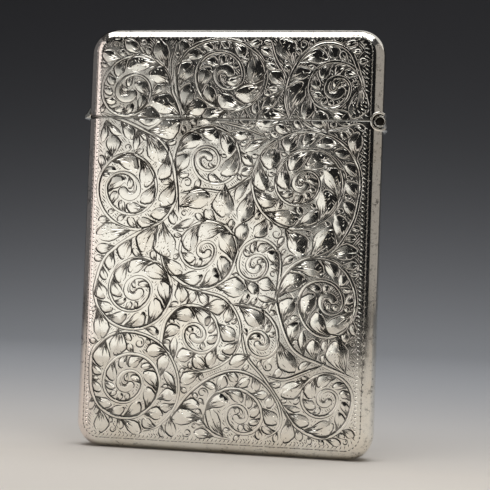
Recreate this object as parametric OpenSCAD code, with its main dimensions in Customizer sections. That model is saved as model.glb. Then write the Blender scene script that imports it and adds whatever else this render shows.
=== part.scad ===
// Engraved silver card case with a side-hinged lid.
// Frame: +Z up, +X towards the hinge, front face towards -Y, origin at the middle of the bottom face.
// Millimetres throughout.

/* [Case] */
// Width of the case, thumb side to hinge side
case_w = 63.5; // [50:0.5:90]
// Height of the closed case
case_h = 90; // [70:0.5:120]
// Thickness, front face to back face
case_t = 8; // [7.5:0.1:12]
// Thickness of the silver sheet
wall = 0.5; // [0.4:0.05:0.65]
// Radius of the rolled shoulder between a face and the narrow sides
shoulder_r = 3; // [2.2:0.1:3.4]
// Radius of the four corners, seen from the front
corner_r = 5.5; // [4:0.5:9]
// Height of the lid, seam to top
lid_h = 19.5; // [14:0.5:28]
// Gap that shows as the seam between lid and body
seam_gap = 0.12; // [0.08:0.02:0.2]

/* [Collar] */
// How far the collar stands up into the lid
collar_rise = 2.2; // [1:0.1:3.5]
// How far the collar reaches down into the body
collar_drop = 4; // [2:0.5:8]
// Thickness of the collar strip
collar_wall = 0.35; // [0.25:0.05:0.5]
// Clearance between the collar and the inside of the lid
collar_fit = 0.12; // [0.1:0.01:0.2]
// Gap between the ends of the collar and the hinge
collar_end_gap = 1.8; // [1:0.1:5]

/* [Hinge] */
// Outside radius of the hinge knuckles
knuckle_r = 1.2; // [1:0.05:1.35]
// Wall of the knuckle tube
knuckle_wall = 0.28; // [0.2:0.02:0.34]
// Running clearance between the pin and the knuckles, on the radius
pin_fit = 0.05; // [0.03:0.01:0.08]
// Gap between neighbouring knuckles
knuckle_gap = 0.08; // [0.06:0.01:0.12]
// How far the pin ends sit inside the end knuckles
pin_recess = 0.25; // [0.1:0.05:0.4]
// Free space between a knuckle and the other half's bearer
bearer_gap = 0.35; // [0.2:0.05:0.4]
// Thickness of the two hinge bearers
bearer_wall = 0.5; // [0.35:0.05:0.6]
// How far the hinge axis sits inside the narrow side
axis_inset = 0.65; // [0.5:0.05:0.9]
// How far the bearers may stand proud of the narrow side
bearer_proud = 0.75; // [0.7:0.05:1]
// Angle of the free end of the lid's bearer, above the seam
lid_bearer_end = 60; // [50:1:70]
// Angle of the free end of the body's bearer, below the seam
body_bearer_end = -48; // [-52:1:-42]
// Bare length of the bearers beyond the knuckles, at the front and at the back
hinge_end = 0.8; // [0.5:0.1:1.2]
// Number of knuckles along the pin, the body's first and last
knuckle_count = 5; // [5]

/* [Thumb piece] */
// How far the thumb piece stands out from the side
thumb_reach = 1.6; // [1:0.1:2.5]
// Height of the thumb piece
thumb_h = 2.7; // [2:0.1:4]
// Width of the thumb piece along the side
thumb_w = 5.2; // [4:0.1:6]
// Height of the upright lip below its slope
thumb_lip = 0.7; // [0.4:0.1:1]

/* [Hidden] */
$fn = 96;
eps = 0.01;
seam_z = case_h - lid_h;
axis_x = case_w / 2 - axis_inset;
bore_r = knuckle_r - knuckle_wall;
pin_r = bore_r - pin_fit;
bearer_in = knuckle_r + bearer_gap;
bearer_out = bearer_in + bearer_wall;
// Arcs over which a knuckle is soldered into its own bearer
lid_solder = [95, 165];
body_solder = [195, 285];
// The knuckles share the thickness that is left between the bare ends
hinge_len = case_t - 2 * hinge_end;
knuckle_len = (hinge_len - (knuckle_count - 1) * knuckle_gap) / knuckle_count;
silver = "gainsboro";
bright = "white";
warm = "wheat";
big = 4 * case_h;

// Rectangle w by t with rounded corners, centred
module rounded_rect(w, t, r) {
    square([w - 2 * r, t], center = true);
    square([w, t - 2 * r], center = true);
    for (x = [-1, 1], y = [-1, 1])
        translate([x * (w / 2 - r), y * (t / 2 - r)]) circle(r);
}

// Half of the turned section of one corner: everything at x >= 0 out to the corner radius
module corner_section(t, r, cr) {
    intersection() {
        translate([0, -t]) square([2 * cr, 2 * t]);
        rounded_rect(2 * cr, t, r);
    }
}

// Solid pillow-edged plate, standing on z = foot, shrunk by inset on every side
module plate(inset = 0) {
    w = case_w - 2 * inset;
    h = case_h - 2 * inset;
    t = case_t - 2 * inset;
    r = shoulder_r - inset;
    cr = corner_r - inset;
    translate([0, 0, case_h / 2]) {
        translate([0, 0, -(h / 2 - cr)]) linear_extrude(h - 2 * cr) rounded_rect(w, t, r);
        rotate([0, 90, 0]) translate([0, 0, -(w / 2 - cr)])
            linear_extrude(w - 2 * cr) rounded_rect(h, t, r);
        for (x = [-1, 1], z = [-1, 1])
            translate([x * (w / 2 - cr), 0, z * (h / 2 - cr)])
                rotate([90, 0, 0]) rotate_extrude() corner_section(t, r, cr);
    }
}

// Cylinder on the hinge axis, through the whole thickness
module on_axis(r, from = -case_t, to = case_t) {
    translate([axis_x, from, seam_z]) rotate([-90, 0, 0]) cylinder(r = r, h = to - from);
}

// Everything above the seam (side 1) or below it (side -1), less half of the seam gap
module half_space(side) {
    translate([-big / 2, -big / 2, side > 0 ? seam_z + seam_gap / 2 : seam_z - seam_gap / 2 - big])
        cube(big);
}

// One pressed shell: face is -1 for the front and 1 for the back, side is 1 for the lid and -1 for the body
module shell(face, side) {
    color(silver) difference() {
        intersection() {
            difference() {
                plate();
                plate(wall);
            }
            half_space(side);
            translate([-big / 2, face > 0 ? 0 : -big, -big / 2]) cube(big);
        }
        on_axis(bearer_out);
    }
}

// Ring of the collar: outside is set in from the shell's inner surface by fit
module collar_ring(fit) {
    outer = wall + fit;
    inner = wall + collar_fit + collar_wall;
    difference() {
        rounded_rect(case_w - 2 * outer, case_t - 2 * outer, shoulder_r - outer);
        rounded_rect(case_w - 2 * inner, case_t - 2 * inner, shoulder_r - inner);
    }
}

// Three-sided collar soldered inside the mouth of the body, over which the lid closes
module mouth_collar() {
    end_x = axis_x - bearer_out - collar_end_gap;
    base_z = seam_z - seam_gap / 2;
    color(warm) intersection() {
        union() {
            translate([0, 0, base_z - collar_drop]) linear_extrude(collar_drop) collar_ring(0);
            translate([0, 0, base_z - eps]) linear_extrude(collar_rise + eps) collar_ring(collar_fit);
        }
        translate([end_x - big, -big / 2, 0]) cube(big);
    }
}

// Pie slice of radius big from angle a0 to a1, in the plane of the front
module wedge(a0, a1) {
    mid = (a0 + a1) / 2;
    polygon([[0, 0], big * [cos(a0), sin(a0)], big * [cos(mid), sin(mid)], big * [cos(a1), sin(a1)]]);
}

// Trough-shaped bearer between angles a0 and a1 about the hinge axis, rounded over like the shoulders
module bearer(a0, a1, side) {
    color(bright) intersection() {
        translate([axis_x, case_t, seam_z]) rotate([90, 0, 0]) linear_extrude(2 * case_t)
            intersection() {
                difference() {
                    circle(bearer_out);
                    circle(bearer_in);
                }
                wedge(a0, a1);
            }
        linear_extrude(case_h) rounded_rect(case_w + 2 * bearer_proud, case_t, shoulder_r + bearer_proud / 2);
        half_space(side);
    }
}

// One knuckle, number i from the front, soldered to its bearer over the arc in solder
module knuckle(i, solder) {
    from = -hinge_len / 2 + i * (knuckle_len + knuckle_gap);
    color(bright) translate([axis_x, from + knuckle_len, seam_z]) rotate([90, 0, 0])
        linear_extrude(knuckle_len) difference() {
            union() {
                circle(knuckle_r);
                intersection() {
                    circle(bearer_in);
                    wedge(solder[0], solder[1]);
                }
            }
            circle(bore_r);
        }
}

module body_knuckle(i) {
    knuckle(i, body_solder);
}

module lid_knuckle(i) {
    knuckle(i, lid_solder);
}

module hinge_pin() {
    half = hinge_len / 2 - pin_recess;
    color(silver) on_axis(pin_r, -half, half);
}

// Half-round ledge on the thumb side of the lid, flat below and sloped above
module thumb_piece() {
    // Radius and centre of the plan arc through the tip and both ends
    plan_r = (thumb_reach * thumb_reach + thumb_w * thumb_w / 4) / (2 * thumb_reach);
    centre_x = -case_w / 2 - thumb_reach + plan_r;
    top_r = plan_r - thumb_reach;
    base_z = seam_z + seam_gap / 2;
    color(silver) difference() {
        intersection() {
            translate([centre_x, 0, base_z]) rotate_extrude()
                polygon([[0, 0], [plan_r, 0], [plan_r, thumb_lip], [top_r + 0.3, thumb_h], [0, thumb_h]]);
            translate([shoulder_r - case_w / 2 - big, -big / 2, 0]) cube(big);
        }
        linear_extrude(case_h) rounded_rect(case_w, case_t, shoulder_r);
    }
}

shell(-1, -1);  // body_front_shell
shell(1, -1);  // body_back_shell
shell(-1, 1);  // lid_front_shell
shell(1, 1);  // lid_back_shell
mouth_collar();
bearer(180, 360 + body_bearer_end, -1);  // body_hinge_bearer
bearer(lid_bearer_end, 180, 1);  // lid_hinge_bearer
body_knuckle(0);  // body_knuckle_front
lid_knuckle(1);  // lid_knuckle_front
body_knuckle(2);  // body_knuckle_middle
lid_knuckle(3);  // lid_knuckle_rear
body_knuckle(4);  // body_knuckle_rear
hinge_pin();
thumb_piece();
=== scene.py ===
"""A flat silver card case with a side-hinged lid, engraved all over with leafy scrolls, in a plain studio."""

import logging
import math
import random
from dataclasses import dataclass
from enum import Enum
from functools import lru_cache

import bmesh
import bpy
import numpy as np
from mathutils import Matrix, Vector
from mathutils.geometry import delaunay_2d_cdt
from mathutils.kdtree import KDTree


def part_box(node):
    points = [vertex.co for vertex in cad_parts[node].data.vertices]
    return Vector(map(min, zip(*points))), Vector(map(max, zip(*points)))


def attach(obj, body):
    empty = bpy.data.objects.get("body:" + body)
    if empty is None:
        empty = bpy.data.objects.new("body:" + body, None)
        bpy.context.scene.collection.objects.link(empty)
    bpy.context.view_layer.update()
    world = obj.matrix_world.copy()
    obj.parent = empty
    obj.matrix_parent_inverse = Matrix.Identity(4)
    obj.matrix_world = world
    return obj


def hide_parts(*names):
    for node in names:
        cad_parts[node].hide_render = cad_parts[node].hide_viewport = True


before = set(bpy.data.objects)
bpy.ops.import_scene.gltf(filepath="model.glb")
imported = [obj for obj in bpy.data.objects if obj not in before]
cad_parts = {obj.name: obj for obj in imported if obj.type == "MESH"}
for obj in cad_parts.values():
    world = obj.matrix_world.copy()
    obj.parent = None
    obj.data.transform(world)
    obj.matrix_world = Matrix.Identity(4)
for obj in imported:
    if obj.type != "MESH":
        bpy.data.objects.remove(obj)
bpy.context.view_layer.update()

LOG = logging.getLogger("card_case")
MM = 0.001
Point = tuple[float, float]
Colour = tuple[float, float, float, float]


class Face(Enum):
    """Which broad side of the case a pan covers, as the sign of its outward Y."""

    FRONT = -1
    BACK = 1


class Part(Enum):
    """Which side of the seam a pan is on, as the sign of its Z from the seam."""

    BODY = -1
    LID = 1


# ---------------------------------------------------------------------------------------------
# Sizes


@dataclass(frozen=True)
class CaseSizes:
    """Overall sizes of the case in millimetres, read from the frame where it holds them."""

    width: float
    height: float
    thick: float
    seam: float
    axis_x: float
    roll: float = 3.0
    corner: float = 5.5
    wall: float = 0.5
    seam_gap: float = 0.12
    notch: float = 2.05

    @classmethod
    def from_frame(cls) -> "CaseSizes":
        """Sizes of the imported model."""
        low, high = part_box("body_front_shell")
        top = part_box("lid_front_shell")[1]
        pin_low, pin_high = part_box("hinge_pin")
        return cls(
            width=(high.x - low.x) / MM,
            height=(top.z - low.z) / MM,
            thick=-2 * low.y / MM,
            seam=(pin_low.z + pin_high.z) / 2 / MM,
            axis_x=(pin_low.x + pin_high.x) / 2 / MM,
        )


@dataclass(frozen=True)
class RolledSheet:
    """The outer surface of a pan, as a flat sheet whose edges roll over the shoulders.

    Places on it are given as they would lie if the rolled edges were pressed flat: u across, v up.
    """

    sizes: CaseSizes

    @property
    def flat_low(self) -> Point:
        """Lower left corner of the flat field."""
        s = self.sizes
        return (s.roll - s.width / 2, s.roll)

    @property
    def flat_high(self) -> Point:
        """Upper right corner of the flat field."""
        s = self.sizes
        return (s.width / 2 - s.roll, s.height - s.roll)

    @property
    def bend(self) -> float:
        """Length of the sheet that goes round the shoulder."""
        return self.sizes.roll * math.pi / 2

    @property
    def reach(self) -> float:
        """Length of the sheet from the flat field's edge to the solder line in the middle of the side."""
        return self.bend + self.sizes.thick / 2 - self.sizes.roll

    def spread(self, flat: np.ndarray) -> tuple[np.ndarray, np.ndarray, np.ndarray]:
        """Foot on the flat field, outward direction and distance past the flat field's edge.

        Args:
            flat: Places on the pressed-flat sheet, one row each.

        Returns:
            The feet, the unit directions and the distances.
        """
        corner = self.sizes.corner - self.sizes.roll
        core_low = np.array(self.flat_low) + corner
        core_high = np.array(self.flat_high) - corner
        core = np.clip(flat, core_low, core_high)
        away = flat - core
        far = np.hypot(away[:, 0], away[:, 1])
        out = away / np.maximum(far, 1e-9)[:, None]
        foot = core + out * np.minimum(far, corner)[:, None]
        return foot, out, np.maximum(far - corner, 0.0)

    def lay(self, flat: np.ndarray, face: Face) -> tuple[np.ndarray, np.ndarray]:
        """Points and outward normals of the rolled sheet.

        Args:
            flat: Places on the pressed-flat sheet, one row each.
            face: The side of the case.

        Returns:
            Points in millimetres and unit normals, one row each.
        """
        s = self.sizes
        foot, out, past = self.spread(flat)
        angle = np.minimum(past, self.bend) / s.roll
        side = np.maximum(past - self.bend, 0.0)
        plan = foot + out * (s.roll * np.sin(angle))[:, None]
        depth = s.thick / 2 - s.roll + s.roll * np.cos(angle) - side
        points = np.stack([plan[:, 0], face.value * depth, plan[:, 1]], 1)
        lean = np.sin(angle)
        normals = np.stack([out[:, 0] * lean, face.value * np.cos(angle), out[:, 1] * lean], 1)
        return points, normals

    def ring(self, past: float, step: float = 1.3) -> np.ndarray:
        """A closed line round the sheet at a distance past the flat field's edge, or inside it if negative.

        Args:
            past: Distance past the edge of the flat field.
            step: Longest piece along the straight sides.

        Returns:
            The line's points, one row each, not repeated at the end.
        """
        corner = self.sizes.corner - self.sizes.roll
        low = np.array(self.flat_low) + corner
        high = np.array(self.flat_high) - corner
        centres = ((high[0], high[1]), (low[0], high[1]), (low[0], low[1]), (high[0], low[1]))
        radius = max(corner + past, 0.05)
        points = []
        for quarter, centre in enumerate(centres):
            angles = np.linspace(quarter * math.pi / 2, (quarter + 1) * math.pi / 2, 13)
            arc = np.array(centre) + radius * np.stack([np.cos(angles), np.sin(angles)], 1)
            points.append(arc)
            nxt = np.array(centres[(quarter + 1) % 4])
            end = nxt + radius * np.array([math.cos(angles[-1]), math.sin(angles[-1])])
            count = int(np.hypot(*(end - arc[-1])) / step)
            shares = np.linspace(0, 1, count + 1)[1:-1, None]
            points.append(arc[-1] + (end - arc[-1]) * shares)
        return np.vstack(points)

    def notch_line(self) -> np.ndarray:
        """The cut-out round the hinge, from its upper end on the solder line to its lower one."""
        s = self.sizes
        flat_x = self.flat_high[0]
        xs = np.linspace(s.width / 2, s.axis_x - s.notch + 1e-3, 22)
        rise = np.sqrt(np.maximum(s.notch**2 - (xs - s.axis_x) ** 2, 0.0))
        us = flat_x + s.roll * np.arcsin(np.clip((xs - flat_x) / s.roll, 0, 1))
        upper = np.stack([us, s.seam + rise], 1)
        lower = np.stack([us, s.seam - rise], 1)[::-1]
        end = flat_x + self.reach + 0.5
        first = np.array([[end, upper[0, 1]]])
        last = np.array([[end, lower[-1, 1]]])
        return np.vstack([first, upper, lower, last])

    def plan_x(self, flat: np.ndarray) -> np.ndarray:
        """Projected x of places on the sheet."""
        return self.lay(flat, Face.FRONT)[0][:, 0]


# ---------------------------------------------------------------------------------------------
# Engraving


@dataclass(frozen=True)
class Cut:
    """One graver cut: its path on the flat sheet, its half-width along it, and how steep its walls are.

    A cut with a negative steepness is a swelling that stands up, whose crest follows the path.
    """

    path: np.ndarray
    half: np.ndarray
    steep: float = 0.42


@dataclass(frozen=True)
class Scroll:
    """One scroll: the points that its stem runs through, then half turns that meet on a level line.

    crossings are where the stem crosses that line, over is 1 if the first half turn goes over the top, and
    swell stretches a half turn's height.
    """

    name: str
    lead: tuple[Point, ...]
    level: float
    crossings: tuple[float, ...]
    over: int
    swell: tuple[float, ...] = ()


@dataclass(frozen=True)
class Spray:
    """Long blades that open like a fan where two stems fork. Angles are in degrees."""

    base: Point
    heading: float
    spread: float
    blades: int
    length: float


SCROLLS = (
    Scroll("lid_left", ((-10.6, 69.5), (-11.6, 73.5)), 76.3, (-13.0, -28.6, -17.8, -25.0, -21.7), 1),
    Scroll("lid_middle", ((-9.4, 69.8), (-11.7, 74.6)), 79.8,
           (-12.6, 6.9, -8.1, 2.0, -3.7, -0.7), 1, (0.8,)),
    Scroll("lid_right", ((12.6, 69.5), (11.3, 75.5), (13.4, 82.4), (18.6, 86.6), (24.4, 85.0)), 77.2,
           (27.4, 16.1, 24.7, 19.9, 22.9), 1),
    Scroll("upper_left", ((-28.2, 71.5), (-20.4, 68.6), (-14.0, 64.4)), 55.3,
           (-11.2, -28.7, -15.8, -26.8, -19.9, -23.2), -1, (1.0, 1.15)),
    Scroll("upper_middle", ((-10.8, 50.0), (-11.5, 56.0)), 61.8, (-12.2, 2.1, -8.1, -2.4, -6.9, -4.4), 1),
    Scroll("great", ((16.0, 40.9), (22.0, 42.9), (26.2, 49.4)), 57.2,
           (27.6, 4.9, 24.0, 9.8, 19.1, 13.8, 16.3), 1, (0.97,)),
    Scroll("heart", ((-14.6, 42.6), (-12.4, 37.8), (-6.0, 34.4), (0.2, 36.9)), 42.6,
           (2.3, -10.1, -2.4, -6.1, -3.9), 1),
    Scroll("small_bright", ((10.7, 33.0), (11.3, 36.5)), 39.8, (11.6, 2.4, 8.8, 4.6, 6.9), 1, (1.2,)),
    Scroll("middle_left", ((-13.6, 48.6), (-20.8, 45.0), (-26.4, 40.4)), 33.8,
           (-28.5, -11.6, -25.2, -16.0, -21.4, -18.4), -1),
    Scroll("small_lower", ((1.2, 31.6), (7.2, 30.7), (10.8, 27.4)), 23.8, (11.5, 4.9, 9.3, 7.1), -1),
    Scroll("lower_middle", ((-10.6, 20.0), (-13.2, 22.0)), 24.8, (-13.2, -1.0, -8.7, -4.3, -6.7), 1),
    Scroll("right", ((27.4, 17.2), (21.0, 19.6), (14.4, 22.9)), 32.5,
           (10.7, 27.4, 15.5, 24.8, 20.2, 22.8), 1, (1.12, 1.2)),
    Scroll("lower_left", ((-24.5, 24.2), (-28.3, 20.4)), 14.0,
           (-28.5, -13.4, -25.7, -17.2, -22.3, -19.6), -1),
    Scroll("lower_right", ((12.9, 10.6), (16.4, 6.3), (21.8, 4.6), (26.0, 7.6)), 12.6,
           (27.4, 16.8, 24.3, 20.4, 22.6), 1),
    Scroll("foot", ((2.4, 3.2), (-2.0, 4.3)), 8.3, (-3.7, 8.7, 1.1, 5.3, 3.1), 1, (0.9,)),
)

RUNNERS = (
    ((-10.6, 35.2), (-5.2, 34.0), (0.4, 32.2), (3.6, 26.4), (1.6, 20.2), (-4.6, 17.0), (-9.4, 18.4)),
    ((-28.7, 19.6), (-24.4, 24.0), (-19.0, 24.7), (-13.0, 22.1),
     (-9.6, 16.4), (-9.6, 10.4), (-12.8, 5.6), (-17.2, 3.6)),
    ((-10.6, 7.2), (-7.2, 12.2), (-2.0, 16.2), (3.2, 17.6),
     (8.4, 15.6), (12.0, 11.0), (12.5, 6.4), (9.0, 3.4)),
    ((3.6, 26.6), (5.0, 20.8), (8.6, 16.6), (12.4, 11.4), (14.4, 7.4)),
    ((8.8, 16.9), (12.8, 16.2), (17.0, 17.8), (21.4, 19.8)),
    ((-3.0, 70.0), (3.0, 68.6), (8.4, 66.4)),
    ((13.4, 71.5), (17.0, 68.9), (22.0, 68.4), (27.2, 70.0)),
    ((-12.6, 86.8), (-13.8, 82.0), (-12.9, 77.0)),
    ((11.4, 79.0), (8.6, 83.6), (7.8, 87.4)),
    ((-10.9, 54.4), (-5.6, 55.4), (-0.4, 55.2), (4.4, 58.6)),
)

SPRAYS = (
    Spray((-13.3, 79.4), 100, 46, 4, 7.0),
    Spray((10.9, 77.0), 212, 60, 4, 7.5),
    Spray((4.6, 58.2), 232, 66, 5, 8.5),
    Spray((8.2, 66.6), 205, 40, 3, 6.0),
    Spray((-20.4, 68.0), 290, 44, 3, 6.5),
    Spray((-27.4, 70.0), 285, 40, 3, 6.0),
    Spray((-3.6, 33.6), 352, 50, 3, 6.0),
    Spray((-10.6, 19.2), 112, 40, 3, 6.0),
    Spray((-9.7, 12.2), 118, 34, 3, 5.5),
    Spray((13.0, 11.0), 330, 60, 4, 6.0),
    Spray((17.0, 21.2), 118, 40, 3, 6.5),
    Spray((-12.0, 47.0), 20, 50, 3, 6.0),
    Spray((10.9, 32.6), 200, 50, 3, 5.0),
)


def unit(angle: float | np.ndarray) -> np.ndarray:
    """Unit vectors at an angle, or one for each of several angles."""
    return np.stack([np.cos(angle), np.sin(angle)], -1)


def run_length(path: np.ndarray) -> np.ndarray:
    """Distance along a path at each of its points."""
    return np.concatenate([[0.0], np.cumsum(np.hypot(*np.diff(path, axis=0).T))])


def even(path: np.ndarray, step: float) -> np.ndarray:
    """The same path with its points a step apart."""
    s = run_length(path)
    t = np.linspace(0, s[-1], max(2, int(round(s[-1] / step)) + 1))
    return np.stack([np.interp(t, s, path[:, 0]), np.interp(t, s, path[:, 1])], 1)


def headings(path: np.ndarray) -> np.ndarray:
    """Direction of a path at each of its points."""
    along = np.gradient(path, axis=0)
    return np.unwrap(np.arctan2(along[:, 1], along[:, 0]))


def left_of(heading: np.ndarray) -> np.ndarray:
    """Unit vectors to the left of each direction."""
    return unit(heading + math.pi / 2)


def through(points: list[Point], per_span: int = 14) -> np.ndarray:
    """A smooth curve through points.

    Args:
        points: The points, in order.
        per_span: How many steps it takes between two of them.

    Returns:
        The curve's points, one row each.
    """
    p = np.array(points, float)
    p = np.vstack([2 * p[0] - p[1], p, 2 * p[-1] - p[-2]])
    t = np.linspace(0, 1, per_span, endpoint=False)[:, None]
    spans = []
    for a, b, c, d in zip(p, p[1:], p[2:], p[3:]):
        bend = (2 * a - 5 * b + 4 * c - d) * t**2 + (3 * b - a - 3 * c + d) * t**3
        spans.append(0.5 * (2 * b + (c - a) * t + bend))
    return np.vstack(spans + [p[-2][None]])


def needed(path: np.ndarray, turn: float = 0.26, longest: float = 1.1) -> np.ndarray:
    """Which of a path's points its shape needs.

    Args:
        path: Closely spaced points.
        turn: Most that it may turn between two kept points.
        longest: Most distance between two kept points.

    Returns:
        Indices of the points to keep.
    """
    phi = headings(path)
    s = run_length(path)
    keep = [0]
    for i in range(1, len(path) - 1):
        if abs(phi[i] - phi[keep[-1]]) > turn or s[i] - s[keep[-1]] > longest:
            keep.append(i)
    return np.array(keep + [len(path) - 1])


class Ground:
    """Which parts of the face are already cut, on a fine grid."""

    pitch = 0.1

    def __init__(self, low: Point, high: Point) -> None:
        """An empty grid from one corner to the other."""
        self.low = np.array(low, float)
        self.size = np.ceil((np.array(high) - self.low) / self.pitch).astype(int) + 1
        self.taken = np.zeros(self.size, bool)

    def places(self) -> np.ndarray:
        """Place of every cell, as an array of rows and columns."""
        i, j = np.meshgrid(np.arange(self.size[0]), np.arange(self.size[1]), indexing="ij")
        return self.low + np.stack([i, j], -1) * self.pitch

    def cells(self, points: np.ndarray) -> tuple[np.ndarray, np.ndarray]:
        """Cell of each point, and whether it is on the grid."""
        cell = np.round((points - self.low) / self.pitch).astype(int)
        return cell, np.all((cell >= 0) & (cell < self.size), axis=1)

    def free(self, points: np.ndarray) -> np.ndarray:
        """Whether each point is on the grid and uncut."""
        cell, inside = self.cells(points)
        cell[~inside] = 0
        return inside & ~self.taken[cell[:, 0], cell[:, 1]]

    def take(self, points: np.ndarray, radius: float | np.ndarray) -> None:
        """Marks a disc round each point as cut."""
        radius = np.broadcast_to(np.round(np.asarray(radius, float) / self.pitch * 2) / 2, (len(points),))
        cell, _ = self.cells(points)
        for r in np.unique(radius):
            reach = np.arange(-math.ceil(r), math.ceil(r) + 1)
            dx, dz = np.meshgrid(reach, reach, indexing="ij")
            disc = np.stack([dx, dz], -1)[np.hypot(dx, dz) <= r]
            hit = (cell[radius == r][:, None] + disc[None]).reshape(-1, 2)
            hit = hit[np.all((hit >= 0) & (hit < self.size), axis=1)]
            self.taken[hit[:, 0], hit[:, 1]] = True

    def open_discs(self, radius: float) -> np.ndarray:
        """Places at which a disc of a radius is uncut all over, in no particular order."""
        clear = ~self.taken
        for step in range(int(radius / self.pitch)):
            shrunk = clear.copy()
            shrunk[1:] &= clear[:-1]
            shrunk[:-1] &= clear[1:]
            shrunk[:, 1:] &= clear[:, :-1]
            shrunk[:, :-1] &= clear[:, 1:]
            if step % 2:
                shrunk[1:, 1:] &= clear[:-1, :-1]
                shrunk[:-1, :-1] &= clear[1:, 1:]
                shrunk[1:, :-1] &= clear[:-1, 1:]
                shrunk[:-1, 1:] &= clear[1:, :-1]
            clear = shrunk
        return self.low + np.argwhere(clear) * self.pitch


@dataclass
class Leaf:
    """A leaf's middle line, its left-hand normals and its half-width along it."""

    share: np.ndarray
    rib: np.ndarray
    normal: np.ndarray
    body: np.ndarray

    @classmethod
    def grown(cls, base: np.ndarray, heading: float, length: float, width: float, bend: float) -> "Leaf":
        """A leaf from a base.

        Args:
            base: Where it leaves the stem.
            heading: The direction in which it leaves.
            length: Its length along the middle.
            width: Half of its greatest width.
            bend: How far it turns from base to tip.

        Returns:
            The leaf.
        """
        share = np.linspace(0, 1, 13)
        angle = heading + bend * share**1.5
        step = unit(angle) * (length / (len(share) - 1))
        rib = np.vstack([[0.0, 0.0], np.cumsum(0.5 * (step[1:] + step[:-1]), axis=0)]) + base
        body = width * np.sin(math.pi * share**1.55) ** 0.8
        return cls(share, rib, left_of(angle), body)

    def across(self, q: float, first: float = 0.0, last: float = 1.0, count: int = 3) -> np.ndarray:
        """Points along the leaf.

        Args:
            q: How far left of the middle they lie, as a share of its half-width.
            first: Share of its length at which they start.
            last: Share of its length at which they end.
            count: How many there are.

        Returns:
            The points, one row each.
        """
        at = np.linspace(first, last, count)
        pick = [np.interp(at, self.share, c) for c in (*self.rib.T, *self.normal.T, self.body)]
        return np.stack(pick[:2], 1) + np.stack(pick[2:4], 1) * (pick[4] * q)[:, None]

    def marks(self, first: int = 3, low: float = -1.0, high: float = 1.0) -> np.ndarray:
        """Points spread over the leaf from one share of its half-width to another, less its narrow foot."""
        rib, normal, body = self.rib[first:], self.normal[first:], self.body[first:]
        return np.vstack([rib + normal * (body * q)[:, None] for q in np.linspace(low, high, 5)])


@lru_cache(maxsize=None)
def leaf_marks(slim: float, bend: float) -> np.ndarray:
    """Points spread over a leaf 1 mm long that leaves the origin along u, less what may lap over its stem."""
    leaf = Leaf.grown(np.zeros(2), 0.0, 1.0, slim, bend)
    return leaf.marks(4, -0.55, 1.0) if bend > 0 else leaf.marks(4, -1.0, 0.55)


@dataclass(frozen=True)
class Dressing:
    """How leaves grow along a stem: longest and shortest length, lean, and turn towards the tip."""

    longest: float
    shortest: float
    lean: float
    curl: float


INNER_LEAVES = Dressing(8.0, 2.8, 0.7, 0.6)
OUTER_LEAVES = Dressing(8.0, 2.8, 0.65, 0.9)
RUNNER_LEAVES = Dressing(7.5, 2.6, 0.6, 0.8)
SMALL_LEAVES = Dressing(2.8, 1.7, 0.5, 1.0)


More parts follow.
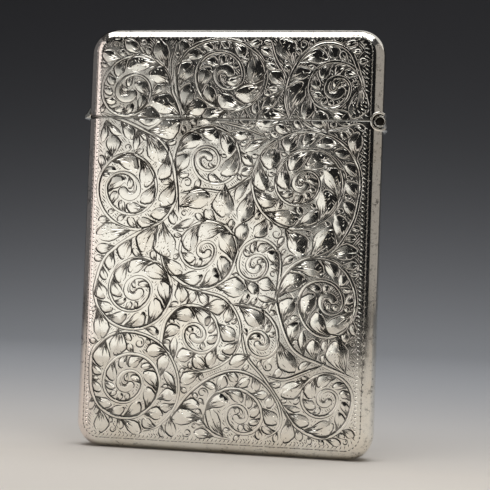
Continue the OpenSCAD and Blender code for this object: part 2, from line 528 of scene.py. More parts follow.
class Engraver:
    """Cuts the whole pattern, the same way each time."""

    field_low = (-29.0, 2.95)
    field_high = (27.9, 87.65)
    field_corner = 3.0
    stem_half = 0.38
    runner_half = 0.32
    leaf_slim = (0.31, 0.25)
    leaf_turns = (0.0, 0.25, -0.25, 0.5, -0.45)
    leaf_shrink = 0.87
    follow = 0.75
    boldness = 1.25
    roundness = 0.045

    def __init__(self, sizes: CaseSizes) -> None:
        """An engraver for a case of these sizes."""
        self.sizes = sizes
        self.cuts: list[Cut] = []
        self.random = random.Random(5)
        margin = 5.0
        half = sizes.width / 2 + margin
        self.ground = Ground((-half, -margin), (half, sizes.height + margin))
        place = self.ground.places()
        low = np.array(self.field_low) + self.field_corner
        high = np.array(self.field_high) - self.field_corner
        away = place - np.clip(place, low, high)
        self.ground.taken |= np.hypot(away[..., 0], away[..., 1]) > self.field_corner

    def swell(self, path: np.ndarray, half: np.ndarray) -> None:
        """Rounds up the surface along a path, down to nothing at its half-width."""
        self.cuts.append(Cut(path, half, -self.roundness))

    def cut(self, path: np.ndarray, half: float | np.ndarray, steep: float = 0.42) -> None:
        """Makes one cut."""
        path = np.asarray(path, float)
        half = np.broadcast_to(np.asarray(half, float), (len(path),)) * self.boldness
        self.cuts.append(Cut(path, half, steep))

    def centre_line(self, scroll: Scroll) -> np.ndarray:
        """Middle of a scroll's stem, from its root to its eye."""
        up = scroll.over
        turns = []
        pairs = list(zip(scroll.crossings, scroll.crossings[1:]))
        for k, (a, b) in enumerate(pairs):
            tall = scroll.swell[k] if k < len(scroll.swell) else 1.0
            angle = np.linspace(0, math.pi if k < len(pairs) - 1 else 0.9 * math.pi, 25)[:-1]
            radius = (a - b) / 2
            rise = up * abs(radius) * tall
            middle = (a + b) / 2
            turns.append(np.stack([middle + radius * np.cos(angle), scroll.level + rise * np.sin(angle)], 1))
            up = -up
        coil = np.vstack(turns)
        lead = through(list(scroll.lead) + [tuple(coil[0]), tuple(coil[2])])
        lead = lead[: int(np.argmin(np.hypot(*(lead - coil[0]).T)))]
        path = even(np.vstack([lead, coil]), 0.15)
        for _ in range(6):
            path[1:-1] = 0.25 * path[:-2] + 0.5 * path[1:-1] + 0.25 * path[2:]
        return path

    def stem(self, path: np.ndarray, wide: float, eye: float) -> tuple[np.ndarray, float]:
        """Two cuts side by side, that swell on the shadow side.

        Args:
            path: The stem's middle line.
            wide: Half the distance between the cuts at the root.
            eye: Radius of the last half turn, where the stem swells into an eye, or 0 if it ends in a point.

        Returns:
            Half the distance between the cuts along the path, and 1 if the stem turns left or -1 if right.
        """
        phi = headings(path)
        s = run_length(path)
        share = s / s[-1]
        fade = np.clip((s[-1] - s) / 4.0, 0.1, 1) if not eye else 1.0
        half = wide * (1.0 - 0.3 * share) * (0.35 + 0.65 * np.clip(s / 4.0, 0, 1)) * fade
        if eye:
            near = np.clip(1.0 - (s[-1] - s) / (2.1 * math.pi * eye), 0, 1)
            half = half + (0.62 * eye - half[-1]) * near**2 * (3 - 2 * near)
        turn = math.copysign(1.0, phi[-1] - phi[0])
        for side in (1, -1):
            inner = side == turn
            line = path + left_of(phi) * half[:, None] * side
            shade = 0.5 + 0.5 * np.sin(phi + (0.8 if inner else 2.6))
            thin, swelling = (0.115, 1.1) if inner else (0.085, 0.6)
            width = thin * np.clip(s / 1.2, 0.05, 1) * (0.65 + swelling * shade)
            if not eye:
                width = width * np.clip((s[-1] - s) / 1.5, 0.05, 1)
            keep = needed(line)
            self.cut(line[keep], width[keep])
        if eye:
            cap = path[-1] + half[-1] * unit(phi[-1] + np.linspace(-math.pi / 2, math.pi / 2, 9))
            self.cut(cap, 0.14)
            self.eye_shade(path, phi, half, s, turn)
        crest = needed(path, 0.3, 1.2)
        self.swell(path[crest], half[crest])
        self.ground.take(path, 0.16 + half)
        return half, turn

    def eye_shade(
        self, path: np.ndarray, phi: np.ndarray, half: np.ndarray, s: np.ndarray, turn: float
    ) -> None:
        """Shading cuts that follow the swollen end of a stem, along its inner side."""
        for q, first, last in ((0.62, 0.55, 0.05), (0.3, 0.8, 0.4)):
            span = math.pi * half[-1] / 0.62
            at = np.linspace(s[-1] - span * first * 1.6, s[-1] - span * last * 1.2, 6)
            k = np.clip(np.searchsorted(s, at), 0, len(s) - 1)
            line = path[k] + left_of(phi[k]) * (half[k] * q * turn)[:, None]
            self.cut(line, 0.12 * np.sin(math.pi * np.linspace(0, 1, 6)) ** 0.7 * np.linspace(0.6, 1.1, 6))

    def leaf(self, leaf: Leaf, length: float, width: float, bend: float, blade: bool = False) -> None:
        """Outlines a leaf, shades its foot with a fan of cuts, and curls its tip unless it is a blade."""
        turn = math.copysign(1.0, bend)
        share = leaf.share
        bold = min(1.0, 0.6 + 0.1 * length)
        lobes = 1.0 + 0.18 * np.abs(np.sin(share * math.pi * (2.5 if length > 3.4 else 1.5)))
        outer = leaf.rib - leaf.normal * (leaf.body * lobes)[:, None] * turn
        inner = leaf.rib + leaf.normal * (leaf.body * 0.9)[:, None] * turn
        if not blade:
            curl = max(0.18, width * 0.36)
            angle = np.linspace(0.0, 2.5, 6)[1:]
            tip = outer[-2]
            tip_heading = math.atan2(-leaf.normal[-1][0], leaf.normal[-1][1])
            centre = tip + curl * unit(tip_heading + turn * (math.pi / 2 + 0.3))
            start = math.atan2(*(tip - centre)[::-1])
            hook = centre + curl * (1 - 0.15 * angle)[:, None] * unit(start + turn * angle)
            outer = np.vstack([outer[:-1], hook])
            self.ground.take(hook, 0.14)
        for line, thin, swell in ((outer, 0.05, 0.15), (inner[:-1], 0.045, 0.1)):
            t = np.linspace(0, 1, len(line))
            keep = needed(line, 0.34)
            self.cut(line[keep], ((thin + swell * np.sin(math.pi * t**1.3)) * bold)[keep])
        self.fan(leaf, length)
        crest = [4, 8, 11]
        self.swell(leaf.rib[crest], leaf.body[crest])
        if length > 2.2:
            self.cut(leaf.across(0.8 * turn, 0.0, 0.42), np.array([0.06, 0.24, 0.0]) * bold)
        if length > 3.4 and not blade and self.random.random() < 0.5:
            self.dotted_arc(leaf, width)
        ribs = [leaf.rib + leaf.normal * (leaf.body * q)[:, None] for q in np.linspace(-1.05, 1.05, 9)]
        self.ground.take(np.vstack(ribs), 0.2)

    def fan(self, leaf: Leaf, length: float) -> None:
        """Shading cuts that spread from a leaf's foot."""
        count = 3 + sum(length > limit for limit in (4.2, 5.6))
        big = 0.8 + 0.09 * length
        self.cut(leaf.across(0.0, 0.02, 0.3), np.array([0.05, 0.15, 0.0]) * big)
        for k in range(count):
            q = -0.75 + 1.5 * (k + 0.5) / count + self.random.uniform(-0.06, 0.06)
            last = self.random.uniform(0.55, 0.75) if k == count // 2 else self.random.uniform(0.4, 0.6)
            self.cut(leaf.across(q, 0.13, last), np.array([0.0, 0.13, 0.0]) * big)

    def dotted_arc(self, leaf: Leaf, width: float) -> None:
        """A row of short ticks across a leaf, near its tip."""
        for q in np.linspace(-0.6, 0.6, 6):
            spot = leaf.across(q, 0.76, 0.86, 2)
            ahead = (spot[1] - spot[0]) / max(np.hypot(*(spot[1] - spot[0])), 1e-6)
            middle = spot[0] + ahead * 0.3 * (1 - q * q) * width
            self.cut(np.array([middle - ahead * 0.1, middle, middle + ahead * 0.1]), np.array([0, 0.06, 0]))

    def grow(
        self, base: np.ndarray, heading: float, side: float, longest: float, shortest: float, bend: float,
        pull: float,
    ) -> float:
        """Cuts the largest leaf that fits at a place on a stem.

        Args:
            base: The leaf's foot.
            heading: The direction that it would leave in.
            side: 1 on the stem's left and -1 on its right.
            longest: The longest leaf to try.
            shortest: The shortest one.
            bend: How far it would turn from base to tip on a straight stem.
            pull: How much further it turns for each millimetre of its length, because the stem does.

        Returns:
            The leaf's length, or 0 if none fits.
        """
        length = longest
        heads = heading + side * np.array(self.leaf_turns)
        spin = np.stack([unit(heads), left_of(heads)], 1)
        while length >= shortest:
            turn = side * max(0.2, bend + pull * length)
            marks = np.stack([leaf_marks(w, round(turn, 1)) for w in self.leaf_slim])
            spots = base + length * np.einsum("wpk,hkd->whpd", marks, spin)
            clear = self.ground.free(spots.reshape(-1, 2)).reshape(spots.shape[:-1]).all(-1)
            if clear.any():
                w, h = np.argwhere(clear)[0]
                width = length * self.leaf_slim[w]
                self.leaf(Leaf.grown(base, heads[h], length, width, turn), length, width, turn)
                return length
            length *= self.leaf_shrink
        return 0.0

    def dress(self, path: np.ndarray, half: np.ndarray, side: float, leaves: Dressing) -> None:
        """Leaves and curls by turns along one side of a stem."""
        s = run_length(path)
        phi = headings(path)
        curving = np.gradient(phi, s) * side
        at = 1.6
        while at < s[-1] - 1.2:
            i = int(np.searchsorted(s, at))
            base = path[i] + left_of(phi[i]) * side * (half[i] - 0.1)
            bend = leaves.curl * self.random.uniform(0.8, 1.2)
            long = leaves.longest * self.random.uniform(0.82, 1.0)
            heading = phi[i] + side * leaves.lean
            pull = self.follow * float(curving[i])
            got = self.grow(base, heading, side, long, leaves.shortest, bend, pull)
            if not got:
                at += 0.5
                continue
            at += 0.55 * got + 0.2
            if at < s[-1] - 1.2:
                i = int(np.searchsorted(s, at))
                self.stalked_curl(path[i], phi[i], side, half[i])
                at += 0.3 * got + 0.3

    def stalked_curl(self, at: np.ndarray, heading: float, side: float, half: float) -> None:
        """A curl on a short stalk beside a stem, if there is room."""
        out = left_of(heading) * side
        round_trip = unit(np.linspace(0, 2 * math.pi, 14, endpoint=False))
        for radius in (1.25, 1.05, 0.85, 0.7):
            for gap in (0.25, 0.8, 1.4):
                centre = at + out * (half + gap + radius) + unit(heading) * (0.5 + 0.3 * gap)
                ring = centre + radius * 1.02 * round_trip
                if self.ground.free(np.vstack([ring, (ring + centre) / 2, centre[None]])).all():
                    stalk = at + out * half - unit(heading) * 0.3
                    self.curl(centre, radius, math.atan2(-out[1], -out[0]), side, stalk)
                    return

    def curl(
        self, centre: np.ndarray, radius: float, angle: float, hand: float, stalk: np.ndarray | None = None
    ) -> None:
        """One swelling cut that winds in, with a comma inside it."""
        turn = np.linspace(0, 1.5 * math.pi + 0.9, 11)
        r = radius * (1 - 0.6 * (turn / turn[-1]) ** 1.3)
        path = centre + r[:, None] * unit(angle + hand * turn)
        if stalk is not None:
            path = np.vstack([stalk, path])
        t = np.linspace(0, 1, len(path))
        half = (0.05 + 0.08 * np.sin(math.pi * t) + 0.03 * t) * min(1.0, 0.5 + 0.5 * radius)
        half[0] = 0.03
        self.cut(path, half)
        comma = centre + radius * 0.5 * unit(angle + hand * np.linspace(0.5, 2.5, 4))
        self.cut(comma, np.array([0.0, 0.15, 0.14, 0.0]) * min(1.0, radius))
        self.ground.take(centre[None], radius + 0.12)

    def spray(self, spray: Spray) -> None:
        """Cuts the blades of a spray, each as long as there is room for."""
        for k in range(spray.blades):
            q = (k - (spray.blades - 1) / 2) / max(1, spray.blades - 1)
            heading = math.radians(spray.heading + spray.spread * q)
            bend = 0.7 * q + 0.2
            for share in (1.0, 0.85, 0.7, 0.55):
                length = spray.length * (1.0 - 0.35 * abs(q)) * share
                blade = Leaf.grown(np.array(spray.base), heading, length, length * 0.16, bend)
                if self.ground.free(blade.marks(6)).all():
                    self.leaf(blade, length, length * 0.16, bend, blade=True)
                    break

    def loose_curls(self) -> None:
        """Curls in the gaps that are left, the largest first."""
        circle = unit(np.linspace(0, 2 * math.pi, 12, endpoint=False))
        for radius in (1.25, 1.0, 0.8):
            spots = self.ground.open_discs(radius)
            np.random.default_rng(int(radius * 100)).shuffle(spots)
            for centre in spots:
                ring = centre + 0.96 * radius * circle
                if self.ground.free(np.vstack([ring, (ring + centre) / 2, centre[None]])).all():
                    angle = self.random.uniform(0, 2 * math.pi)
                    self.curl(centre, radius, angle, self.random.choice((-1, 1)))

    def hatch(self) -> None:
        """Short parallel cuts over the ground between the ornaments."""
        spacing, shortest, step = 0.42, 0.6, 0.1
        reach = self.sizes.height * 0.62
        middle = np.array([0.0, self.sizes.height / 2])
        for patch, angle in enumerate((0.9, 2.3)):
            along, over = unit(angle), unit(angle + math.pi / 2)
            t = np.arange(-reach, reach, step)
            for offset in np.arange(-reach, reach, spacing):
                points = middle + over * offset + along * t[:, None]
                cell = (np.floor(points[:, 0] / 3.1) + np.floor(points[:, 1] / 3.7)).astype(int) % 2
                clear = self.ground.free(points) & (cell == patch)
                ends = np.flatnonzero(np.diff(np.concatenate([[0], clear.astype(int), [0]])))
                for a, b in zip(ends[::2], ends[1::2]):
                    if (b - a) * step >= shortest:
                        p, q = points[a], points[b - 1]
                        self.cut(np.array([p, (p + q) / 2, q]), np.array([0.0, 0.1, 0.0]))

    def engrave(self) -> list[Cut]:
        """Cuts everything, from the large forms to the small.

        Returns:
            All the cuts.
        """
        stems = []
        for scroll in SCROLLS:
            path = self.centre_line(scroll)
            eye = abs(scroll.crossings[-1] - scroll.crossings[-2]) / 2
            stems.append((path, *self.stem(path, self.stem_half, eye)))
        runners = []
        for points in RUNNERS:
            path = even(through(list(points)), 0.15)
            runners.append((path, *self.stem(path, self.runner_half, eye=0.0)))
        for spray in SPRAYS:
            self.spray(spray)
        for path, half, turn in stems:
            self.dress(path, half, turn, INNER_LEAVES)
        for path, half, turn in stems:
            self.dress(path, half, -turn, OUTER_LEAVES)
        for path, half, _ in runners:
            for side in (1, -1):
                self.dress(path, half, side, RUNNER_LEAVES)
        for path, half, _ in stems + runners:
            for side in (1, -1):
                self.dress(path, half, side, SMALL_LEAVES)
        self.loose_curls()
        self.hatch()
        return self.cuts


@dataclass(frozen=True)
class BeadRow:
    """A row of punched marks along the border. Its four sides are given as distances past the flat field."""

    left: float
    right: float
    bottom: float
    top: float
    corner: float
    pitch: float
    length: float
    half: float
    slant: float
    seam_clear: float = 0.55
    hinge_clear: float = 0.75
    steep: float = 0.75

    def cuts(self, sheet: RolledSheet) -> list[Cut]:
        """The row's marks, without those at the seam and round the hinge."""
        s = sheet.sizes
        low = np.array(sheet.flat_low) - (self.left, self.bottom) + self.corner
        high = np.array(sheet.flat_high) + (self.right, self.top) - self.corner
        centres = ((high[0], high[1]), (low[0], high[1]), (low[0], low[1]), (high[0], low[1]))
        quarter = np.linspace(0, math.pi / 2, 25)
        line = [np.array(c) + self.corner * unit(q * math.pi / 2 + quarter) for q, c in enumerate(centres)]
        loop = np.vstack(line + [line[0][:1]])
        spots = even(loop, self.pitch)[:-1]
        heading = headings(even(loop, self.pitch))[:-1]
        marks = []
        for spot, phi in zip(spots, heading):
            from_axis = math.hypot(spot[0] - s.axis_x, spot[1] - s.seam)
            if abs(spot[1] - s.seam) < self.seam_clear or from_axis < s.notch + self.hinge_clear:
                continue
            along = unit(phi + self.slant) * self.length / 2
            path = np.array([spot - along, spot, spot + along])
            marks.append(Cut(path, np.array([0.35, 1.0, 0.35]) * self.half, self.steep))
        return marks


BORDER = (
    BeadRow(left=1.18, right=0.4, bottom=0.91, top=1.57, corner=3.6,
            pitch=0.87, length=0.36, half=0.19, slant=0.0),
    BeadRow(left=0.42, right=-0.7, bottom=0.2, top=0.81, corner=3.0,
            pitch=0.87, length=0.62, half=0.13, slant=1.0),
)


# ---------------------------------------------------------------------------------------------
# Sheet-metal pans


class Triangulation:
    """Lines on the pressed-flat sheet, and the triangles that honour them all."""

    def __init__(self) -> None:
        """No lines yet."""
        self.points: list[np.ndarray] = []
        self.edges: list[tuple[int, int]] = []

    def add_line(self, path: np.ndarray, closed: bool = False) -> None:
        """Adds a line through points."""
        first = len(self.points)
        self.points.extend(path)
        count = len(path)
        self.edges.extend((first + k, first + k + 1) for k in range(count - 1))
        if closed:
            self.edges.append((first + count - 1, first))

    def add_cut(self, cut: Cut, least: float = 0.025) -> None:
        """Adds a cut's two edges and its bottom, or only the crest of a swelling.

        Args:
            cut: The cut.
            least: Half-width below which its edges and its bottom are one line.
        """
        if cut.steep < 0:
            self.add_line(cut.path)
            return
        side = left_of(headings(cut.path)) * cut.half[:, None]
        rungs = []
        for middle, out, half in zip(cut.path, side, cut.half):
            k = len(self.points)
            if half < least:
                self.points.append(middle)
                rungs.append((k, k, k))
            else:
                self.points.extend((middle + out, middle, middle - out))
                rungs.append((k, k + 1, k + 2))
        for a, b in zip(rungs, rungs[1:]):
            self.edges.extend({(p, q) for p, q in zip(a, b)})
        for rung in (rungs[0], rungs[-1]):
            if rung[0] != rung[1]:
                self.edges.extend(((rung[0], rung[1]), (rung[1], rung[2])))

    def solve(self) -> tuple[np.ndarray, np.ndarray, list[list[int]]]:
        """Triangulates.

        Returns:
            Points, triangles, and for each point the lines' own points that it stands for.
        """
        points = [Vector(p) for p in self.points]
        made = delaunay_2d_cdt(points, list(set(self.edges)), [], 0, 1e-4)
        return np.array([tuple(p) for p in made[0]]), np.array(made[2]), made[3]


class CutDepths:
    """How deep all the cuts together go at a place, or how high the swellings stand where nothing is cut."""

    step = 0.07

    def __init__(self, cuts: list[Cut]) -> None:
        """Spreads closely spaced samples along every cut."""
        rows = []
        for cut in cuts:
            s = run_length(cut.path)
            t = np.linspace(0, s[-1], max(2, int(s[-1] / self.step) + 1))
            along = [np.interp(t, s, c) for c in (*cut.path.T, cut.half)]
            rows.append(np.stack([*along, np.full(len(t), cut.steep)], 1))
        samples = np.vstack(rows)
        down = samples[:, 3] > 0
        self.hollows = self.plant(samples[down])
        self.swellings = self.plant(samples[~down])

    @staticmethod
    def plant(samples: np.ndarray) -> tuple[KDTree, list[float], list[float], float]:
        """A tree of samples, their half-widths, how steep they are and the widest half-width."""
        tree = KDTree(len(samples))
        for k, (u, v) in enumerate(samples[:, :2]):
            tree.insert((u, v, 0.0), k)
        tree.balance()
        half, steep = samples[:, 2], np.abs(samples[:, 3])
        return tree, half.tolist(), steep.tolist(), float(half.max(initial=0.0))

    @staticmethod
    def reading(planted: tuple[KDTree, list[float], list[float], float], place: np.ndarray) -> float:
        """The most that any sample near a place asks for there."""
        tree, half, steep, widest = planted
        near = tree.find_range((place[0], place[1], 0.0), widest)
        return max(((half[k] - far) * steep[k] for _, k, far in near), default=0.0)

    def at(self, places: np.ndarray) -> np.ndarray:
        """Depth at each place in millimetres, less than 0 where the surface stands up."""
        depth = np.array([self.reading(self.hollows, place) for place in places])
        flat = np.flatnonzero(depth <= 0.004)
        depth[flat] = [-max(0.0, self.reading(self.swellings, place)) for place in places[flat]]
        return depth


@dataclass
class Pan:
    """One pressed pan: half of the lid or half of the body, cut on its outside and plain inside.

    arris is the width of its chamfered lip at the seam, relief how far its flat ground lies inside the case's
    greatest thickness, and shade_and_oxide the depth of cut that takes the full oxide colour. The lip at
    the seam gets that full dark too, as painted shade along the seam.
    """

    sheet: RolledSheet
    face: Face
    part: Part
    cuts: list[Cut]
    arris: float = 0.1
    relief: float = 0.12
    shade_and_oxide: float = 0.05

    def keeps(self, places: np.ndarray) -> np.ndarray:
        """Whether each place belongs to this pan."""
        s = self.sheet.sizes
        past = self.sheet.spread(places)[2]
        up = (places[:, 1] - s.seam) * self.part.value
        from_axis = np.hypot(self.sheet.plan_x(places) - s.axis_x, places[:, 1] - s.seam)
        return (past < self.sheet.reach) & (up > s.seam_gap / 2) & (from_axis > s.notch)

    def frame_lines(self, net: Triangulation, fine: bool) -> None:
        """Adds the lines that bend and bound the pan."""
        s = self.sheet.sizes
        rolls = np.linspace(0, self.sheet.bend, 11 if fine else 7)
        for past in rolls:
            net.add_line(self.sheet.ring(past), closed=True)
        if fine:
            wide = self.sheet.flat_high[0] + self.sheet.reach + 1
            for lift in (s.seam_gap / 2, s.seam_gap / 2 + self.arris):
                v = s.seam + self.part.value * lift
                us = np.linspace(-wide, wide, 60)
                net.add_line(np.stack([us, np.full(len(us), v)], 1))
            net.add_line(self.sheet.ring(self.sheet.reach), closed=True)
            net.add_line(self.sheet.notch_line())

    def outer_skin(self) -> tuple[np.ndarray, np.ndarray, np.ndarray, np.ndarray]:
        """Triangulates the engraved outside.

        Returns:
            Places of the points, their depths, how deep oxide sits at them, full deep on the seam lip as
            painted shade, and the triangles.
        """
        net = Triangulation()
        self.frame_lines(net, fine=True)
        s = self.sheet.sizes
        near = [c for c in self.cuts if ((c.path[:, 1] - s.seam) * self.part.value).max() > -0.3]
        for cut in near:
            net.add_cut(cut)
        places, triangles, _ = net.solve()
        triangles = triangles[self.keeps(places[triangles].mean(1))]
        used, triangles = np.unique(triangles, return_inverse=True)
        places = places[used]
        depth = CutDepths(near).at(places)
        lip = (places[:, 1] - s.seam) * self.part.value - s.seam_gap / 2
        chamfer = np.clip(1 - lip / self.arris, 0, 1) * self.arris * 0.5
        depth = np.where(chamfer > 0, np.maximum(depth, chamfer), depth)
        # Painted shade: the lip at the seam gets the full dark of the deepest cuts, so the seam reads as a
        # dark line.
        oxide_and_lip_shade = np.where(lip < self.arris + 1e-4, self.shade_and_oxide, depth)
        return places, depth, oxide_and_lip_shade, triangles.reshape(-1, 3)

    def build(
        self, name: str, outside_finish: bpy.types.Material, inside_finish: bpy.types.Material
    ) -> bpy.types.Object:
        """Makes the pan's mesh: engraved outside, plain inside, and the sheet's edge between them.

        Args:
            name: The piece's name.
            outside_finish: The finish of the engraved outside and of the edges.
            inside_finish: The finish of the plain inside.

        Returns:
            The piece.
        """
        places, depth, oxide_and_lip_shade, triangles = self.outer_skin()
        points, normals = self.sheet.lay(places, self.face)
        points = (points - normals * depth[:, None]) * MM
        points[:, 1] *= 1 - self.relief / (self.sheet.sizes.thick / 2)
        bm = bmesh.new()
        flat = [bm.verts.layers.float.new(axis) for axis in ("u", "v")]
        tone = bm.verts.layers.float.new("cut")
        edge = bm.verts.layers.float.new("edge")
        past = self.sheet.spread(places)[2] / self.sheet.reach
        outside = [bm.verts.new(p) for p in points]
        for vert, place, d, p in zip(outside, places, oxide_and_lip_shade, past):
            vert[flat[0]], vert[flat[1]] = float(place[0]), float(place[1])
            vert[tone], vert[edge] = min(1.0, d / self.shade_and_oxide), float(p)
        for tri in triangles:
            corners = [outside[k] for k in tri]
            bm.faces.new(corners if self.face is Face.FRONT else corners[::-1])
        rim = self.turn_in(bm, flat, tone)
        self.line_inside(bm, rim, flat)
        for layer in reversed(flat):
            bm.verts.layers.float.remove(layer)
        return as_piece(bm, name, (outside_finish, inside_finish), sharp=11)

    def turn_in(self, bm: bmesh.types.BMesh, flat: list, tone: object) -> list[bmesh.types.BMVert]:
        """Turns the outside's free edges in by the sheet's thickness."""
        free = [e for e in bm.edges if e.is_boundary]
        made = bmesh.ops.extrude_edge_only(bm, edges=free)["geom"]
        rim = [g for g in made if isinstance(g, bmesh.types.BMVert)]
        places = np.array([(v[flat[0]], v[flat[1]]) for v in rim])
        points, normals = self.sheet.lay(places, self.face)
        for vert, point in zip(rim, (points - normals * self.sheet.sizes.wall) * MM):
            vert.co = point
            # Painted shade: the turned-in edges, which face the seam and the hinge gap, get the full dark
            # too.
            vert[tone] = 1.0
        return rim

    def line_inside(self, bm: bmesh.types.BMesh, rim: list[bmesh.types.BMVert], flat: list) -> None:
        """Closes the pan with its plain inside."""
        net = Triangulation()
        net.points.extend(np.array([v[flat[0]], v[flat[1]]]) for v in rim)
        index = {v: k for k, v in enumerate(rim)}
        net.edges.extend((index[e.verts[0]], index[e.verts[1]]) for e in bm.edges if e.is_boundary)
        self.frame_lines(net, fine=False)
        places, triangles, origins = net.solve()
        triangles = triangles[self.keeps(places[triangles].mean(1))]
        points, normals = self.sheet.lay(places, self.face)
        points = (points - normals * self.sheet.sizes.wall) * MM
        verts: dict[int, bmesh.types.BMVert] = {}
        for k in np.unique(triangles):
            own = [o for o in origins[k] if o < len(rim)]
            verts[k] = rim[own[0]] if own else bm.verts.new(points[k])
        for tri in triangles:
            corners = [verts[k] for k in tri]
            if len(set(corners)) == 3:
                made = bm.faces.new(corners[::-1] if self.face is Face.FRONT else corners)
                made.material_index = 1


# ---------------------------------------------------------------------------------------------
# Finishes


class NodeBench:
    """Short-hand for laying out a material's nodes, with places given in millimetres on the piece."""

    def __init__(self, name: str) -> None:
        """A new metal material with its shader."""
        self.material = bpy.data.materials.new(name)
        self.material.use_nodes = True
        self.tree = self.material.node_tree
        self.shader = self.tree.nodes["Principled BSDF"]
        self.place = self.tree.nodes.new("ShaderNodeTexCoord").outputs["Object"]

    def feed(self, socket: bpy.types.NodeSocket, value: object) -> None:
        """Links a socket to another node's output, or sets it to a plain value."""
        if isinstance(value, bpy.types.NodeSocket):
            self.tree.links.new(value, socket)
        else:
            socket.default_value = value

    def math(self, operation: str, a: object, b: object = 0.0) -> bpy.types.NodeSocket:
        """One step of arithmetic on two values."""
        node = self.tree.nodes.new("ShaderNodeMath")
        node.operation = operation
        self.feed(node.inputs[0], a)
        self.feed(node.inputs[1], b)
        return node.outputs[0]

    def mix(self, share: object, a: object, b: object) -> bpy.types.NodeSocket:
        """A blend of two colours."""
        node = self.tree.nodes.new("ShaderNodeMix")
        node.data_type = "RGBA"
        self.feed(node.inputs[0], share)
        self.feed(node.inputs[6], a)
        self.feed(node.inputs[7], b)
        return node.outputs[2]

    def across(self) -> bpy.types.NodeSocket:
        """Place from the thumb side to the hinge side, in metres."""
        node = self.tree.nodes.new("ShaderNodeSeparateXYZ")
        self.feed(node.inputs[0], self.place)
        return node.outputs["X"]

    def attribute(self, name: str) -> bpy.types.NodeSocket:
        """A value that the mesh carries."""
        node = self.tree.nodes.new("ShaderNodeAttribute")
        node.attribute_name = name
        return node.outputs["Fac"]

    def ease(
        self, value: object, low: float, high: float, to_low: float = 0.0, to_high: float = 1.0
    ) -> bpy.types.NodeSocket:
        """A smooth step from one value to another."""
        node = self.tree.nodes.new("ShaderNodeMapRange")
        node.interpolation_type = "SMOOTHSTEP"
        for socket, number in zip(node.inputs[:5], (value, low, high, to_low, to_high)):
            self.feed(socket, number)
        return node.outputs[0]

    def noise(
        self, grain: float, detail: float = 3.0, rough: float = 0.55,
        stretch: tuple[float, float, float] = (1, 1, 1), turn: float = 0.0,
    ) -> bpy.types.NodeSocket:
        """Soft random variation.

        Args:
            grain: Size of its features in millimetres.
            detail: How many finer layers it has.
            rough: How strong the finer layers are.
            stretch: How much longer its features are along each axis.
            turn: Angle about Y that turns its pattern.

        Returns:
            The variation, about 0.5.
        """
        mapping = self.tree.nodes.new("ShaderNodeMapping")
        mapping.inputs["Scale"].default_value = [1 / (s * grain * MM) for s in stretch]
        mapping.inputs["Rotation"].default_value = (0, turn, 0)
        self.feed(mapping.inputs["Vector"], self.place)
        node = self.tree.nodes.new("ShaderNodeTexNoise")
        node.inputs["Scale"].default_value = 1.0
        node.inputs["Detail"].default_value = detail
        node.inputs["Roughness"].default_value = rough
        self.feed(node.inputs["Vector"], mapping.outputs[0])
        return node.outputs[0]

    def bump(self, height: object, tall: float, under: object = None) -> bpy.types.NodeSocket:
        """Relief from a height, in millimetres for a height of 1, over another relief if there is one."""
        node = self.tree.nodes.new("ShaderNodeBump")
        node.inputs["Distance"].default_value = tall * MM
        self.feed(node.inputs["Height"], height)
        if under is not None:
            self.feed(node.inputs["Normal"], under)
        return node.outputs[0]

    def finish(self, colour: object, rough: object, relief: object) -> bpy.types.Material:
        """Puts the metal's colour, roughness and relief on the shader."""
        self.shader.inputs["Metallic"].default_value = 1.0
        self.feed(self.shader.inputs["Base Color"], colour)
        self.feed(self.shader.inputs["Roughness"], rough)
        self.feed(self.shader.inputs["Normal"], relief)
        return self.material


